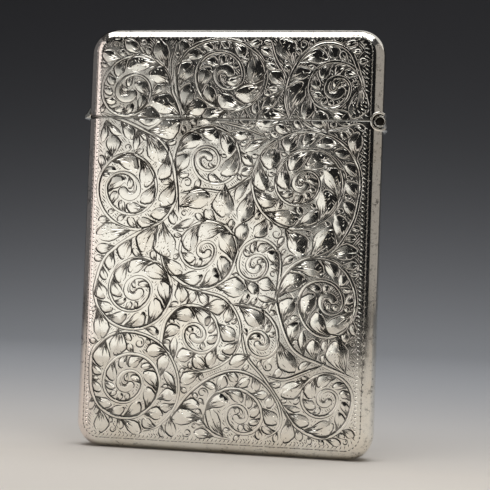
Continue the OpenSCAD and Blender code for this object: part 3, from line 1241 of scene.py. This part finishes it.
@dataclass(frozen=True)
class Silver:
    """A silver surface: how it is polished, how far tarnish has darkened it, and how it is scratched."""

    name: str
    polish: Colour = (0.90, 0.875, 0.81, 1.0)
    toned: Colour = (0.84, 0.79, 0.70, 1.0)
    # The dark of oxide in the hollows; the same colour is also painted shade at the seam.
    oxide_and_shade_colour: Colour = (0.022, 0.019, 0.015, 1.0)
    roughness: float = 0.12
    uneven: float = 0.09
    scratch: float = 0.0012
    dents: float = 0.04
    tarnish: float = 0.5
    # Painted reflection: a pink colour mixed in towards the thumb-side border, from the first place across to
    # the second.
    pink_reflection: Colour = (0.92, 0.83, 0.775, 1.0)
    pink_reflection_from: tuple[float, float] = (-0.0265, -0.0300)
    engraved: bool = False

    def material(self) -> bpy.types.Material:
        """The finish as a material."""
        bench = NodeBench(self.name)
        cloud = bench.noise(9.0, detail=4.0)
        fine = bench.noise(0.9, detail=5.0, rough=0.65)
        colour = bench.mix(bench.ease(cloud, 0.46, 0.72), self.polish, self.toned)
        tarnish_oxide_and_shade = bench.math("MULTIPLY", bench.ease(fine, 0.56, 0.66), bench.ease(cloud, 0.40, 0.62))
        tarnish_oxide_and_shade = bench.math("MULTIPLY", tarnish_oxide_and_shade, self.tarnish)
        rough = bench.math("MULTIPLY", fine, self.uneven)
        rough = bench.math("ADD", rough, self.roughness - self.uneven / 2)
        if self.engraved:
            cut = bench.attribute("cut")
            edge = bench.attribute("edge")
            tarnish_oxide_and_shade = bench.math("MULTIPLY", tarnish_oxide_and_shade, bench.ease(edge, 0.1, 0.45, 0.3, 1.6))
            # Painted reflection: the colour turns pink towards the thumb-side border.
            colour = bench.mix(bench.ease(bench.across(), *self.pink_reflection_from), colour, self.pink_reflection)
            patch = bench.ease(bench.noise(1.7, detail=5.0, rough=0.8), 0.53, 0.66, 0.0, 0.7)
            patch = bench.math("MULTIPLY", patch, bench.ease(edge, 0.45, 0.85, 1.0, 0.3))
            patch = bench.math("MULTIPLY", patch, bench.ease(bench.across(), -0.01, 0.03, 0.25, 1.0))
            patch = bench.math("MULTIPLY", patch, bench.ease(edge, 0.1, 0.35))
            tarnish_oxide_and_shade = bench.math("MAXIMUM", tarnish_oxide_and_shade, patch)
            wiped = bench.ease(cloud, 0.35, 0.65, 0.66, 0.95)
            # Oxide in the cuts, darker the deeper they go; on the seam lip and turned-in edges this is
            # painted shade.
            oxide_and_seam_shade = bench.math("MULTIPLY", bench.ease(cut, 0.1, 0.75), wiped)
            tarnish_oxide_and_shade = bench.math("MAXIMUM", tarnish_oxide_and_shade, oxide_and_seam_shade)
            rough = bench.math("ADD", rough, bench.math("MULTIPLY", oxide_and_seam_shade, 0.16))
        colour = bench.mix(tarnish_oxide_and_shade, colour, self.oxide_and_shade_colour)
        lines = bench.noise(0.35, detail=2.0, stretch=(14, 1, 1), turn=0.5)
        cross = bench.noise(0.3, detail=2.0, stretch=(1, 1, 18), turn=0.2)
        relief = bench.bump(bench.noise(11.0, detail=1.0), self.dents)
        relief = bench.bump(bench.math("ADD", lines, cross), self.scratch, relief)
        return bench.finish(colour, rough, relief)


FINISHES = {
    "engraved_silver": Silver("engraved_silver", engraved=True),
    "satin_inside": Silver("satin_inside", polish=(0.78, 0.75, 0.70, 1), roughness=0.34, tarnish=0.3,
                           dents=0.02),
    "plain_silver": Silver("plain_silver", roughness=0.16, tarnish=0.35, dents=0.01, scratch=0.002),
    # Painted shade: near-black silver for the hinge's solder, standing in for the dark gap between knuckles
    # and bearers.
    "gap_shade_silver": Silver("gap_shade_silver", polish=(0.035, 0.03, 0.026, 1), toned=(0.02, 0.018, 0.015, 1),
                            roughness=0.3, uneven=0.15, tarnish=0.9, dents=0.01),
    "collar_silver": Silver("collar_silver", polish=(0.86, 0.82, 0.74, 1), roughness=0.24, tarnish=0.3,
                            dents=0.01),
    # The pin is near black, far darker than the silver round it.
    "pin_wire": Silver("pin_wire", polish=(0.03, 0.027, 0.024, 1), toned=(0.02, 0.018, 0.015, 1),
                       roughness=0.45, tarnish=0.8, dents=0.0),
}


# ---------------------------------------------------------------------------------------------
# Small parts


def as_piece(
    bm: bmesh.types.BMesh, name: str, finishes: tuple[bpy.types.Material, ...], sharp: float = 32
) -> bpy.types.Object:
    """Makes a finished mesh a piece of the scene.

    Args:
        bm: The mesh, which is freed.
        name: The piece's name.
        finishes: Its materials.
        sharp: Angle in degrees past which an edge looks sharp.

    Returns:
        The piece.
    """
    mesh = bpy.data.meshes.new(name)
    bm.to_mesh(mesh)
    bm.free()
    for finish in finishes:
        mesh.materials.append(finish)
    mesh.shade_smooth()
    mesh.set_sharp_from_angle(angle=math.radians(sharp))
    piece = bpy.data.objects.new(name, mesh)
    bpy.context.scene.collection.objects.link(piece)
    return piece


def soften(
    bm: bmesh.types.BMesh, parts: list, offset: float, corners: bool = False, segments: int = 3
) -> None:
    """Rounds edges, or the corners of a flat section, by an offset in metres."""
    bmesh.ops.bevel(bm, geom=parts, offset=offset, offset_type="OFFSET", segments=segments, profile=0.5,
                    affect="VERTICES" if corners else "EDGES", clamp_overlap=True, material=-1)


@dataclass
class Hinge:
    """The side hinge: knuckles on a pin, between a bearer on the body and one on the lid.

    Sizes are in millimetres and angles in degrees. The bearers' arcs stop 2 degrees short of the seam.
    set_back is how far the solder keeps from the hinge's two ends, joint_gap how far from other knuckles.
    """

    sizes: CaseSizes
    knuckle: float = 1.2
    bore: float = 0.92
    pin: float = 0.87
    bearer_in: float = 1.55
    bearer_out: float = 2.05
    length: float = 6.4
    gap: float = 0.08
    recess: float = 0.25
    proud: float = 0.75
    knuckles: int = 5
    set_back: float = 0.45
    joint_gap: float = 0.04
    bearer_arris: float = 0.24
    knuckle_arris: float = 0.07
    joint_arris: float = 0.05
    lid_arc: tuple[float, float] = (60.0, 178.0)
    body_arc: tuple[float, float] = (182.0, 312.0)
    lid_solder: tuple[float, float] = (95.0, 165.0)
    body_solder: tuple[float, float] = (195.0, 285.0)

    def section(
        self, bm: bmesh.types.BMesh, inner: float, outer: float, front: float, back: float, start: float,
        arris: float,
    ) -> list:
        """A rounded oblong section beside the hinge axis.

        Args:
            bm: The mesh it goes in.
            inner: Its distance from the axis.
            outer: The distance of its far side.
            front: Where it starts along the axis.
            back: Where it ends.
            start: Its angle about the axis.
            arris: Radius of its corners.

        Returns:
            Its face, edges and corners.
        """
        out = unit(math.radians(start))
        corners = [
            bm.verts.new(Vector((self.sizes.axis_x + r * out[0], y, self.sizes.seam + r * out[1])) * MM)
            for r, y in ((inner, front), (outer, front), (outer, back), (inner, back))
        ]
        before = set(bm.faces)
        bm.faces.new(corners)
        soften(bm, corners, arris * MM, corners=True)
        face = next(f for f in bm.faces if f not in before)
        return [face, *face.edges, *face.verts]

    def sweep(self, bm: bmesh.types.BMesh, section: list, span: float) -> None:
        """Turns a section about the hinge axis, into a closed ring if it goes all the way round."""
        full = span >= 360
        if full:
            bmesh.ops.delete(bm, geom=[section[0]], context="FACES_ONLY")
            section = section[1:]
        centre = Vector((self.sizes.axis_x, 0, self.sizes.seam)) * MM
        bmesh.ops.spin(bm, geom=section, cent=centre, axis=(0, -1, 0), angle=math.radians(span),
                       steps=max(8, int(span / 6)), use_merge=full, use_duplicate=False)

    def bearer(self, name: str, arc: tuple[float, float], finish: bpy.types.Material) -> bpy.types.Object:
        """A trough along the hinge whose ends follow the rolled shoulders.

        Args:
            name: The piece's name.
            arc: Its first and last angle about the axis.
            finish: Its material.

        Returns:
            The piece.
        """
        bm = bmesh.new()
        half = self.sizes.thick / 2
        start, end = arc
        section = self.section(bm, self.bearer_in, self.bearer_out, -half, half, start, self.bearer_arris)
        self.sweep(bm, section, end - start)
        roll = self.sizes.roll + self.proud / 2
        limit = self.sizes.width / 2 + self.proud - roll
        for vert in bm.verts:
            past = max(0.0, vert.co.x / MM - limit)
            room = half - roll + math.sqrt(max(roll**2 - past**2, 0.0))
            vert.co.y *= room / half
        bmesh.ops.recalc_face_normals(bm, faces=bm.faces[:])
        return as_piece(bm, name, (finish,))

    def knuckle_piece(
        self, name: str, place: int, solder: tuple[float, float], finish: bpy.types.Material,
        joint_finish: bpy.types.Material,
    ) -> bpy.types.Object:
        """One knuckle with the solder that joins it to its bearer.

        Args:
            name: The piece's name.
            place: Its number from the front.
            solder: First and last angle of the solder.
            finish: The tube's material.
            joint_finish: The solder's material.

        Returns:
            The piece.
        """
        last = self.knuckles - 1
        long = (self.length - last * self.gap) / self.knuckles
        front = -self.length / 2 + place * (long + self.gap)
        bm = bmesh.new()
        ring = self.section(bm, self.bore, self.knuckle, front, front + long, 0.0, self.knuckle_arris)
        self.sweep(bm, ring, 360.0)
        tube = set(bm.faces)
        inner, outer = (self.bore + self.knuckle) / 2, self.bearer_in + 0.06
        joint_front = front + (self.set_back if place == 0 else self.joint_gap)
        joint_back = front + long - (self.set_back if place == last else self.joint_gap)
        joint = self.section(bm, inner, outer, joint_front, joint_back, solder[0], self.joint_arris)
        self.sweep(bm, joint, solder[1] - solder[0])
        for part in bm.faces:
            part.material_index = int(part not in tube)
        bmesh.ops.recalc_face_normals(bm, faces=bm.faces[:])
        return as_piece(bm, name, (finish, joint_finish))

    def pin_piece(self, finish: bpy.types.Material) -> bpy.types.Object:
        """The pin, with its ends hammered slightly domed."""
        half = self.length / 2 - self.recess
        dome = ((0.0, 0.0), (0.35, 0.02), (0.62, 0.06), (0.79, 0.13), (self.pin, 0.24))
        outline = [(r, -half + y) for r, y in dome] + [(r, half - y) for r, y in dome[::-1]]
        bm = bmesh.new()
        verts = [bm.verts.new(Vector((self.sizes.axis_x + r, y, self.sizes.seam)) * MM) for r, y in outline]
        edges = [bm.edges.new(pair) for pair in zip(verts, verts[1:])]
        centre = Vector((self.sizes.axis_x, 0, self.sizes.seam)) * MM
        bmesh.ops.spin(bm, geom=verts + edges, cent=centre, axis=(0, -1, 0), angle=2 * math.pi, steps=48,
                       use_merge=True)
        bmesh.ops.remove_doubles(bm, verts=bm.verts[:], dist=1e-6)
        bmesh.ops.recalc_face_normals(bm, faces=bm.faces[:])
        return as_piece(bm, "pin", (finish,))

    def build(self, finishes: dict[str, bpy.types.Material]) -> None:
        """Makes the whole hinge."""
        # The solder gets the near-black finish, painted shade of the gap between knuckles and bearers.
        plain, shade_and_oxide = finishes["plain_silver"], finishes["gap_shade_silver"]
        for body, arc, label in (("case_body", self.body_arc, "body"), ("lid", self.lid_arc, "lid")):
            made = self.bearer(f"{label}_bearer", arc, plain)
            install(made, body, f"{label}_hinge_bearer")
        rows = (("body", "front"), ("lid", "front"), ("body", "middle"), ("lid", "rear"), ("body", "rear"))
        for place, (label, where) in enumerate(rows):
            body, solder = ("lid", self.lid_solder) if label == "lid" else ("case_body", self.body_solder)
            made = self.knuckle_piece(f"{label}_{where}_knuckle", place, solder, plain, shade_and_oxide)
            install(made, body, f"{label}_knuckle_{where}")
        install(self.pin_piece(finishes["pin_wire"]), "case_body", "hinge_pin")


@dataclass
class ThumbLedge:
    """The half-round ledge that lifts the lid. Millimetres."""

    sizes: CaseSizes
    reach: float = 1.6
    across: float = 5.2
    tall: float = 2.7
    lip: float = 0.7
    sunk: float = 0.45

    def build(self, finish: bpy.types.Material) -> None:
        """Turns the ledge, cuts it off just inside the wall and closes the cut."""
        s = self.sizes
        plan = (self.reach**2 + self.across**2 / 4) / (2 * self.reach)
        top = plan - self.reach + 0.3
        centre_x = -s.width / 2 - self.reach + plan
        base = s.seam + s.seam_gap / 2
        outline = (
            (0.0, 0.0), (plan - 0.22, 0.0), (plan - 0.06, 0.06), (plan, 0.2), (plan, self.lip - 0.12),
            (plan - 0.05, self.lip + 0.06), (plan - 0.24, self.lip + 0.30), (top + 0.45, self.tall - 0.55),
            (top + 0.12, self.tall - 0.17), (top - 0.2, self.tall), (0.0, self.tall),
        )
        bm = bmesh.new()
        verts = [bm.verts.new(Vector((centre_x - r, 0, base + z)) * MM) for r, z in outline]
        edges = [bm.edges.new(pair) for pair in zip(verts, verts[1:])]
        centre = Vector((centre_x, 0, base)) * MM
        bmesh.ops.spin(bm, geom=verts + edges, cent=centre, axis=(0, 0, 1), angle=2 * math.pi, steps=72,
                       use_merge=True)
        bmesh.ops.remove_doubles(bm, verts=bm.verts[:], dist=1e-6)
        wall = Vector((-s.width / 2 + self.sunk, 0, 0)) * MM
        everything = bm.verts[:] + bm.edges[:] + bm.faces[:]
        bmesh.ops.bisect_plane(bm, geom=everything, plane_co=wall, plane_no=(1, 0, 0), clear_outer=True)
        bmesh.ops.holes_fill(bm, edges=[e for e in bm.edges if e.is_boundary], sides=0)
        bmesh.ops.recalc_face_normals(bm, faces=bm.faces[:])
        install(as_piece(bm, "thumb_ledge", (finish,), sharp=40), "lid", "thumb_piece")


@dataclass
class MouthCollar:
    """The three-sided strip inside the mouth, over which the lid shuts. Millimetres."""

    sizes: CaseSizes
    rise: float = 2.2
    drop: float = 4.0
    strip: float = 0.35
    fit: float = 0.12
    end: float = 27.25

    def band(self, bm: bmesh.types.BMesh, outer: float, low: float, high: float, rim: float) -> None:
        """One band of the strip.

        Args:
            bm: The mesh it goes in.
            outer: How far its outside lies inside the case's outside.
            low: Its lower edge.
            high: Its upper edge.
            rim: Rounding of its upper edge, or 0.
        """
        s = self.sizes
        inner = s.wall + self.fit + self.strip
        before = set(bm.faces)
        corners = [
            bm.verts.new(Vector((x * (s.width / 2 - outer), y * (s.thick / 2 - outer), low)) * MM)
            for x, y in ((-1, -1), (1, -1), (1, 1), (-1, 1))
        ]
        bm.faces.new(corners)
        soften(bm, corners, (s.roll - outer) * MM, corners=True, segments=10)
        plate = [f for f in bm.faces if f not in before]
        bmesh.ops.inset_region(bm, faces=plate, thickness=(inner - outer) * MM, use_even_offset=True,
                               use_boundary=True)
        bmesh.ops.delete(bm, geom=plate, context="FACES_ONLY")
        ring = [f for f in bm.faces if f not in before]
        geom = list({v for f in ring for v in f.verts}) + list({e for f in ring for e in f.edges}) + ring
        end = Vector((self.end, 0, 0)) * MM
        bmesh.ops.bisect_plane(bm, geom=geom, plane_co=end, plane_no=(1, 0, 0), clear_outer=True)
        ring = [f for f in bm.faces if f not in before]
        raised = bmesh.ops.extrude_face_region(bm, geom=ring)["geom"]
        top = [g for g in raised if isinstance(g, bmesh.types.BMFace)]
        lifted = list({v for f in top for v in f.verts})
        bmesh.ops.translate(bm, verts=lifted, vec=(0, 0, (high - low) * MM))
        if rim:
            inside = set(top)
            edges = {e for f in top for e in f.edges}
            soften(bm, [e for e in edges if any(f not in inside for f in e.link_faces)], rim * MM)

    def build(self, finish: bpy.types.Material) -> None:
        """Makes the collar: a lower band against the body's wall, and an upper one that clears the lid's."""
        s = self.sizes
        base = s.seam - s.seam_gap / 2
        bm = bmesh.new()
        self.band(bm, s.wall, base - self.drop, base, 0.0)
        self.band(bm, s.wall + self.fit, base - self.drop + 0.2, base + self.rise, 0.12)
        bmesh.ops.recalc_face_normals(bm, faces=bm.faces[:])
        install(as_piece(bm, "mouth_strip", (finish,)), "case_body", "mouth_collar")


def install(piece: bpy.types.Object, body: str, node: str) -> None:
    """Makes a piece ride on a body and stand for a node, and reports it."""
    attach(piece, body)
    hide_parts(node)
    LOG.info("%s on %s: %d faces", piece.name, body, len(piece.data.polygons))


# ---------------------------------------------------------------------------------------------
# Studio


@dataclass(frozen=True)
class StudioView:
    """The camera's place, as turns of the case before a level camera. Angles in degrees, lengths in mm."""

    turned: float = 9.3
    leaning: float = 2.1
    rolled: float = 1.79
    distance: float = 250.0
    aside: float = -3.1
    above: float = 0.9
    lens: float = 85.9
    sensor: float = 36.0

    def place(self, sizes: CaseSizes) -> None:
        """Makes the camera and sets it as the scene's."""
        yaw, lean, roll = (math.radians(a) for a in (self.turned, self.leaning, self.rolled))
        right = Vector((math.cos(yaw), math.sin(yaw) * math.cos(lean), math.sin(yaw) * math.sin(lean)))
        ahead = Vector((-math.sin(yaw), math.cos(yaw) * math.cos(lean), math.cos(yaw) * math.sin(lean)))
        up = Vector((0, -math.sin(lean), math.cos(lean)))
        centre = Vector((0, 0, sizes.height / 2))
        spot = (centre - right * self.aside - up * self.above - ahead * self.distance) * MM
        side = right * math.cos(roll) + up * math.sin(roll)
        top = up * math.cos(roll) - right * math.sin(roll)
        camera = bpy.data.objects.new("camera", bpy.data.cameras.new("camera"))
        camera.data.lens = self.lens
        camera.data.sensor_width = self.sensor
        camera.data.clip_start = 0.01
        camera.matrix_world = Matrix((side, top, -ahead)).transposed().to_4x4()
        camera.matrix_world.translation = spot
        bpy.context.scene.collection.objects.link(camera)
        bpy.context.scene.camera = camera


@dataclass(frozen=True)
class SoftBox:
    """A rectangular soft light that faces a point.

    Sizes and places are in metres. glow is how bright it looks in a mirror, as a share of full white, and
    watts_per_glow the power that one square metre of it needs to look fully white.
    """

    name: str
    place: tuple[float, float, float]
    aim: tuple[float, float, float]
    width: float
    height: float
    glow: float
    tint: tuple[float, float, float] = (1.0, 1.0, 1.0)
    watts_per_glow: float = 4.0

    def hang(self) -> None:
        """Makes the light."""
        data = bpy.data.lights.new(self.name, "AREA")
        data.shape = "RECTANGLE"
        data.size, data.size_y = self.width, self.height
        data.energy = self.glow * self.watts_per_glow * self.width * self.height
        data.color = self.tint
        light = bpy.data.objects.new(self.name, data)
        way = Vector(self.aim) - Vector(self.place)
        light.rotation_euler = way.to_track_quat("-Z", "Y").to_euler()
        light.location = self.place
        light.visible_camera = False
        bpy.context.scene.collection.objects.link(light)


LIGHTS = (
    SoftBox("front_box", (-0.375, -1.0, -0.03), (-0.375, 0.0, -0.03), 0.53, 0.44, 0.8, (1.0, 0.985, 0.94)),
    SoftBox("front_box_upper", (-0.47, -1.0, 0.235), (-0.47, 0.0, 0.235), 0.45, 0.09, 0.42,
            (1.0, 0.985, 0.95)),
    SoftBox("top_box", (0.0, -0.12, 0.70), (0.0, -0.12, 0.0), 0.8, 0.66, 2.2),
    SoftBox("front_left_wall", (-0.85, -0.95, 0.3), (0.0, -0.95, 0.3), 0.9, 1.0, 0.75, (1.0, 0.94, 0.91)),
    SoftBox("left_wall", (-0.85, 0.15, 0.42), (0.0, 0.15, 0.42), 1.3, 0.8, 0.09, (0.95, 0.97, 1.0)),
    SoftBox("ceiling", (0.0, -0.2, 0.95), (0.0, -0.2, 0.0), 2.6, 1.8, 0.03),
    SoftBox("back_box", (0.15, 0.34, 0.42), (0.0, 0.0, 0.02), 0.7, 0.3, 0.5, (1.0, 0.98, 0.94)),
    SoftBox("right_wall", (0.85, 0.1, 0.42), (0.0, 0.1, 0.42), 2.0, 0.8, 0.24, (1.0, 0.93, 0.86)),
)


@dataclass(frozen=True)
class Sweep:
    """Paper that curves up into a backdrop, with painted shade: it darkens behind the case and as it climbs.

    Lengths are in metres. From turn_start on, the near tone fades into the shaded far tone, and up the
    backdrop that fades into the painted dark shade. What is left of a tone falls by a factor e for each
    length of its fade.
    """

    width: float = 3.0
    front: float = -0.32
    back: float = 0.42
    bend: float = 0.3
    tall: float = 1.0
    near_tone: Colour = (0.75, 0.705, 0.65, 1.0)
    shaded_far_tone: Colour = (0.365, 0.38, 0.41, 1.0)
    painted_dark_shade: Colour = (0.04, 0.04, 0.044, 1.0)
    turn_start: float = -0.015
    floor_fade: float = 0.1
    backdrop_fade: float = 0.08

    def paint(self) -> bpy.types.Material:
        """The paper's finish, which reads how far along it lies from the attribute run."""
        bench = NodeBench("backdrop_paper")
        bench.shader.inputs["Metallic"].default_value = 0.0
        bench.shader.inputs["Roughness"].default_value = 0.9
        bench.shader.inputs["Specular IOR Level"].default_value = 0.1
        run = bench.attribute("run")
        # Painted shade: the paper darkens behind the case and up the backdrop, as if the light fell off.
        near = self.left(bench, run, self.turn_start, self.floor_fade)
        far = self.left(bench, run, self.back, self.backdrop_fade)
        paper = bench.mix(near, self.shaded_far_tone, self.near_tone)
        bench.feed(bench.shader.inputs["Base Color"], bench.mix(far, self.painted_dark_shade, paper))
        return bench.material

    @staticmethod
    def left(bench: NodeBench, run: bpy.types.NodeSocket, start: float, fade: float) -> bpy.types.NodeSocket:
        """Share of a tone that is left after it starts to fade."""
        past = bench.math("MAXIMUM", bench.math("SUBTRACT", run, start), 0.0)
        return bench.math("EXPONENT", bench.math("DIVIDE", past, -fade))

    def build(self) -> None:
        """Extrudes the paper's outline sideways and colours it along its length."""
        turn = [(self.back + self.bend * math.sin(a), self.bend * (1 - math.cos(a)))
                for a in np.linspace(0, math.pi / 2, 13)]
        outline = [(self.front, 0.0), (0.0, 0.0), *turn, (self.back + self.bend, self.tall)]
        bm = bmesh.new()
        run = bm.verts.layers.float.new("run")
        verts = [bm.verts.new((-self.width / 2, y, z)) for y, z in outline]
        for vert, (y, z) in zip(verts, outline):
            vert[run] = y if z == 0 else self.back + z
        edges = [bm.edges.new(pair) for pair in zip(verts, verts[1:])]
        made = bmesh.ops.extrude_edge_only(bm, edges=edges)["geom"]
        far_side = [g for g in made if isinstance(g, bmesh.types.BMVert)]
        bmesh.ops.translate(bm, verts=far_side, vec=(self.width, 0, 0))
        bmesh.ops.recalc_face_normals(bm, faces=bm.faces[:])
        as_piece(bm, "paper_sweep", (self.paint(),), sharp=60)


@dataclass(frozen=True)
class StudioFloor:
    """The dark floor of the studio, below the paper. Metres."""

    half: float = 4.0
    drop: float = -0.72
    colours: tuple[Colour, Colour] = ((0.20, 0.198, 0.19, 1), (0.23, 0.226, 0.22, 1))
    mottle: float = 300.0

    def build(self) -> None:
        """Lays the floor."""
        bm = bmesh.new()
        place = Matrix.Translation((0, 0, self.drop))
        bmesh.ops.create_grid(bm, x_segments=1, y_segments=1, size=self.half, matrix=place)
        bench = NodeBench("studio_floor_paint")
        bench.shader.inputs["Roughness"].default_value = 0.8
        bench.feed(bench.shader.inputs["Base Color"], bench.mix(bench.noise(self.mottle), *self.colours))
        as_piece(bm, "studio_floor", (bench.material,))


DARK_STUDIO = (0.007, 0.007, 0.0075, 1.0)


def main() -> None:
    """Builds every sub-assembly in order, and the studio round it."""
    logging.basicConfig(level=logging.INFO, format="%(name)s: %(message)s")
    sizes = CaseSizes.from_frame()
    sheet = RolledSheet(sizes)
    finishes = {name: finish.material() for name, finish in FINISHES.items()}
    cuts = [c for row in BORDER for c in row.cuts(sheet)]
    cuts += Engraver(sizes).engrave()
    LOG.info("engraving: %d cuts", len(cuts))
    for part, body in ((Part.BODY, "case_body"), (Part.LID, "lid")):
        for face in Face:
            label = f"{part.name.lower()}_{face.name.lower()}"
            pan = Pan(sheet, face, part, cuts)
            made = pan.build(f"{label}_pan", finishes["engraved_silver"], finishes["satin_inside"])
            install(made, body, f"{label}_shell")
    Hinge(sizes).build(finishes)
    ThumbLedge(sizes).build(finishes["plain_silver"])
    MouthCollar(sizes).build(finishes["collar_silver"])
    StudioView().place(sizes)
    for light in LIGHTS:
        light.hang()
    Sweep().build()
    StudioFloor().build()
    world = bpy.data.worlds.new("studio")
    world.use_nodes = True
    world.node_tree.nodes["Background"].inputs["Color"].default_value = DARK_STUDIO
    bpy.context.scene.world = world
    bpy.context.scene.view_settings.view_transform = "Standard"


if __name__ == "__main__":
    main()
